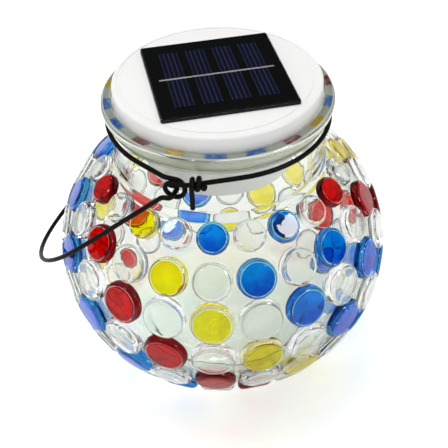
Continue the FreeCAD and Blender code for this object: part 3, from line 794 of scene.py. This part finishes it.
def plasticFinish(name, ownLook):
    look = {**plasticBase, **ownLook}
    finish = Finish(name)
    cloud = finish.noise(look["cloudScale"])
    grain = finish.noise(look["grainScale"], detail=2.0)
    plain = shade(look["colour"], 1.0)
    body = finish.node("ShaderNodeBsdfPrincipled", None, {
        "Base Color": finish.blend(cloud, shade(look["colour"], look["deep"]), plain),
        "Roughness": look["rough"] + (cloud - 0.5) * look["roughSpread"],
        "IOR": look["ior"], "Specular IOR Level": look["specular"],
        # painted light: glow makes the plastic give off its own colour, though it is no lamp
        "Emission Color": plain, "Emission Strength": look["glow"],   # thin plastic, lit through
        "Normal": finish.bump(grain, look["grainStrength"], look["grainDepth"]),
    })
    return finish.surface(body)


metalBase = {
    "cloudScale": 300, "deep": 0.8, "metallic": 1.0, "roughSpread": 0.2,
    "dentStrength": 0.1, "dentDepth": 0.02,
}
metalLooks = {
    "screwSteel": {"colour": (0.62, 0.62, 0.62), "rough": 0.35},
    "contactNickel": {"colour": (0.66, 0.65, 0.61), "rough": 0.3},
    "leadTin": {"colour": (0.70, 0.70, 0.70), "rough": 0.35},
    "ribbonSilver": {"colour": (0.80, 0.79, 0.76), "rough": 0.38, "metallic": 0.25},
}


def metalFinish(name, ownLook):
    look = {**metalBase, **ownLook}
    finish = Finish(name)
    cloud = finish.noise(look["cloudScale"], detail=4.0)
    dull, bright = shade(look["colour"], look["deep"]), shade(look["colour"], 1.0)
    metal = finish.node("ShaderNodeBsdfPrincipled", None, {
        "Base Color": finish.blend(cloud, dull, bright),
        "Metallic": look["metallic"],
        "Roughness": look["rough"] + (cloud - 0.5) * look["roughSpread"],
        "Normal": finish.bump(cloud, look["dentStrength"], look["dentDepth"]),
    })
    return finish.surface(metal)


cellLook = {
    "colour": (0.010, 0.012, 0.030), "dark": 0.75, "light": 1.2, "cloudScale": 250, "rough": 0.35,
    "ior": 1.5, "turn": 31.6, "linePitch": 1.7, "lineWidth": 0.24, "lineColour": (0.085, 0.10, 0.24),
    "lineShine": 0.1,
}


def cellFinish(name, look):
    # fine contact lines along each cell, which lies at the lid's turn
    finish = Finish(name)
    beat = finish.node("ShaderNodeMath", {"operation": "PINGPONG"},
                       {0: finish.axis(0, look["turn"]), 1: look["linePitch"] / 2 * mm})
    line = beat < look["lineWidth"] / 2 * mm
    cloud = finish.noise(look["cloudScale"])
    dark, light = shade(look["colour"], look["dark"]), shade(look["colour"], look["light"])
    body = finish.node("ShaderNodeBsdfPrincipled", None, {
        "Base Color": finish.blend(line, finish.blend(cloud, dark, light), look["lineColour"]),
        "Roughness": look["rough"] - look["lineShine"] * line,
        "IOR": look["ior"],
    })
    return finish.surface(body)


finishes = {name: glassFinish(name, look) for name, look in glassLooks.items()}
finishes.update({name: plasticFinish(name, look) for name, look in plasticLooks.items()})
finishes.update({name: metalFinish(name, look) for name, look in metalLooks.items()})
finishes["cellBlue"] = cellFinish("cellBlue", cellLook)
print("finishes made:", len(finishes))


# Every piece and CAD node gets its finish

def dress(piece, body, slot, finish, *nodes):
    piece.data.materials.clear()
    piece.data.materials.append(finishes[finish])
    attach(piece, body)
    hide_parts(*nodes)


dress(glassJar, "jar", "jar_glass", "jarGlass", "glass_jar")
for row, groups in enumerate(gemRows):
    for colour, gems in groups.items():
        dress(gems, "jar", "gem_" + colour, colour + "GemGlass", colour + "_gems_row_" + str(row + 1))
dress(lidCap, "lid", "cap_white", "capWhite", "lid_cap")
dress(neckWire, "jar", "wire_black", "wireBlack", "neck_wire")
dress(eyeWraps, "jar", "wire_black", "wireBlack", "eye_wraps")
dress(bailHandle, "bail", "wire_black", "wireBlack", "bail_handle")

nodeFinishes = {
    "lid_gasket": "sealSilicone", "lamp_housing": "housingWhite", "lid_screws": "screwSteel",
    "battery_door": "housingWhite", "door_screws": "screwSteel", "battery_cell": "batterySleeve",
    "positive_contact": "contactNickel", "negative_contact": "contactNickel",
    "circuit_board": "circuitGreen", "led_bulb": "lampEpoxy", "led_leads": "leadTin",
    "switch_body": "switchBlack", "switch_slider": "switchBlack",
    "panel_lead_positive": "leadRed", "panel_lead_negative": "leadBlack",
    "panel_board": "panelBlack", "solar_cells": "cellBlue", "cell_ribbon": "ribbonSilver",
    "panel_resin": "panelResinClear",
}
for node, finish in nodeFinishes.items():
    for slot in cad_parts[node].material_slots:
        slot.material = finishes[finish]
print("finishes given")


# Floor, light and camera

stage = {
    "floorSize": 8.0, "floorColour": (0.95, 0.95, 0.945), "floorDeep": 0.997, "floorCloud": 3,
    "floorRough": 0.9, "floorLift": 0.35, "glassShare": 0.15,
    "skyFill": 0.38, "sideFill": 1.1, "roomLevel": 0.74, "mirrorLevel": 0.3,
    "keyPlace": (-0.5, 0.35, 1.9), "keySize": 1.1, "keyPower": 20.0,
    # heading, the light that is left, and how far the full and the fading shade reach
    "cards": [((-0.302, 0.800, 0.518), 0.04, 18, 30), ((0.302, -0.800, 0.518), 0.3, 12, 35),
              ((0.92, 0.34, 0.2), 0.1, 10, 24), ((-0.92, -0.34, 0.2), 0.1, 10, 24)],
    # place, size and power
    "boxes": [((0.976, -0.103, 0.853), (0.28, 0.30), 7.3),
              ((-0.515, -0.659, 0.996), (0.20, 0.20), 2.6)],
    "cameraPlace": (0.100702, -0.267256, 0.300285), "cameraTurn": (49.244, 1.3432, 19.3226),
    "lens": 72.3214, "sensor": 36, "nearest": 0.01,
    "bounces": {"max_bounces": 32, "transmission_bounces": 28, "glossy_bounces": 10,
                "transparent_max_bounces": 40},
}


def pathRays(finish):
    rays = ("Is Camera Ray", "Is Glossy Ray", "Is Transmission Ray")
    return [finish.node("ShaderNodeLightPath", output=ray) for ray in rays]


def lookedAt(finish, glassShare=1.0):
    # 1 for what the camera sees straight, and a share of it in glass
    camera, glossy, passing = pathRays(finish)
    return finish.ramp(camera + (glossy + passing) * glassShare, 0, 1)


def makeFloor():
    clearSelection()
    bpy.ops.mesh.primitive_plane_add(size=stage["floorSize"])
    floor = bpy.context.object
    floor.name = "floor"
    finish = Finish("floorPale")
    cloud = finish.noise(stage["floorCloud"], detail=2.0)
    deep = shade(stage["floorColour"], stage["floorDeep"])
    lift = shade((1, 1, 1), stage["floorLift"])
    body = finish.node("ShaderNodeBsdfPrincipled", None, {
        "Base Color": finish.blend(cloud, deep, stage["floorColour"]),
        "Roughness": stage["floorRough"], "Specular IOR Level": 0.0, "Emission Strength": 1.0,
        "Emission Color": finish.blend(lookedAt(finish, stage["glassShare"]), (0, 0, 0), lift),
    })
    floor.data.materials.append(finish.surface(body))


def addLamp(name, place, power):
    bpy.ops.object.light_add(type="AREA", location=place)
    lamp = bpy.context.object
    lamp.name = name
    lamp.data.energy = power
    lamp.rotation_euler = (-Vector(place)).to_track_quat("-Z", "Y").to_euler()
    return lamp


def makeLight():
    world = bpy.data.worlds.new("softRoom")
    bpy.context.scene.world = world
    sky = Finish("softRoom", world)
    heading = sky.node("ShaderNodeTexCoord", output="Generated")
    rise = sky.node("ShaderNodeSeparateXYZ", None, {0: heading}, output=2)
    level = stage["sideFill"] + (stage["skyFill"] - stage["sideFill"]) * sky.ramp(rise, 0, 1)
    camera, glossy, passing = pathRays(sky)
    white = glossy * stage["mirrorLevel"] + passing * stage["roomLevel"]
    for place, dark, inner, outer in stage["cards"]:
        facing = sky.node("ShaderNodeVectorMath", {"operation": "DOT_PRODUCT"},
                          {0: heading, 1: place}, output=1)
        ends = [math.cos(math.radians(angle)) for angle in (outer, inner)]
        white = white * (1 - (1 - dark) * sky.ramp(facing, *ends))

    def glow(strength):
        return sky.node("ShaderNodeBackground", None, {"Color": (1, 1, 1, 1), "Strength": strength})

    fill, mirrored = glow(level), glow(sky.ramp(white + camera, 0, 1))
    both = sky.node("ShaderNodeMixShader", None, {0: lookedAt(sky), 1: fill, 2: mirrored})
    sky.node("ShaderNodeOutputWorld", None, {"Surface": both})
    key = addLamp("keyLight", stage["keyPlace"], stage["keyPower"])
    key.data.shape = "DISK"
    key.data.size = stage["keySize"]
    key.visible_glossy = False   # no bright disc in the flat panel
    for k, (place, size, power) in enumerate(stage["boxes"]):   # seen only as a shine
        box = addLamp("softBox" + str(k + 1), place, power)
        box.data.shape = "RECTANGLE"
        box.data.size, box.data.size_y = size
        box.visible_diffuse = False
        box.visible_transmission = False


def makeCamera():
    turn = [math.radians(angle) for angle in stage["cameraTurn"]]
    bpy.ops.object.camera_add(location=stage["cameraPlace"], rotation=turn)
    camera = bpy.context.object
    camera.name = "photoCamera"
    camera.data.sensor_width = stage["sensor"]
    camera.data.lens = stage["lens"]
    camera.data.clip_start = stage["nearest"]
    bpy.context.scene.camera = camera


clearSelection()
makeFloor()
makeLight()
makeCamera()
bpy.context.scene.view_settings.view_transform = "Standard"
for limit, count in stage["bounces"].items():   # light passes many walls of glass
    setattr(bpy.context.scene.cycles, limit, count)
print("stage set")
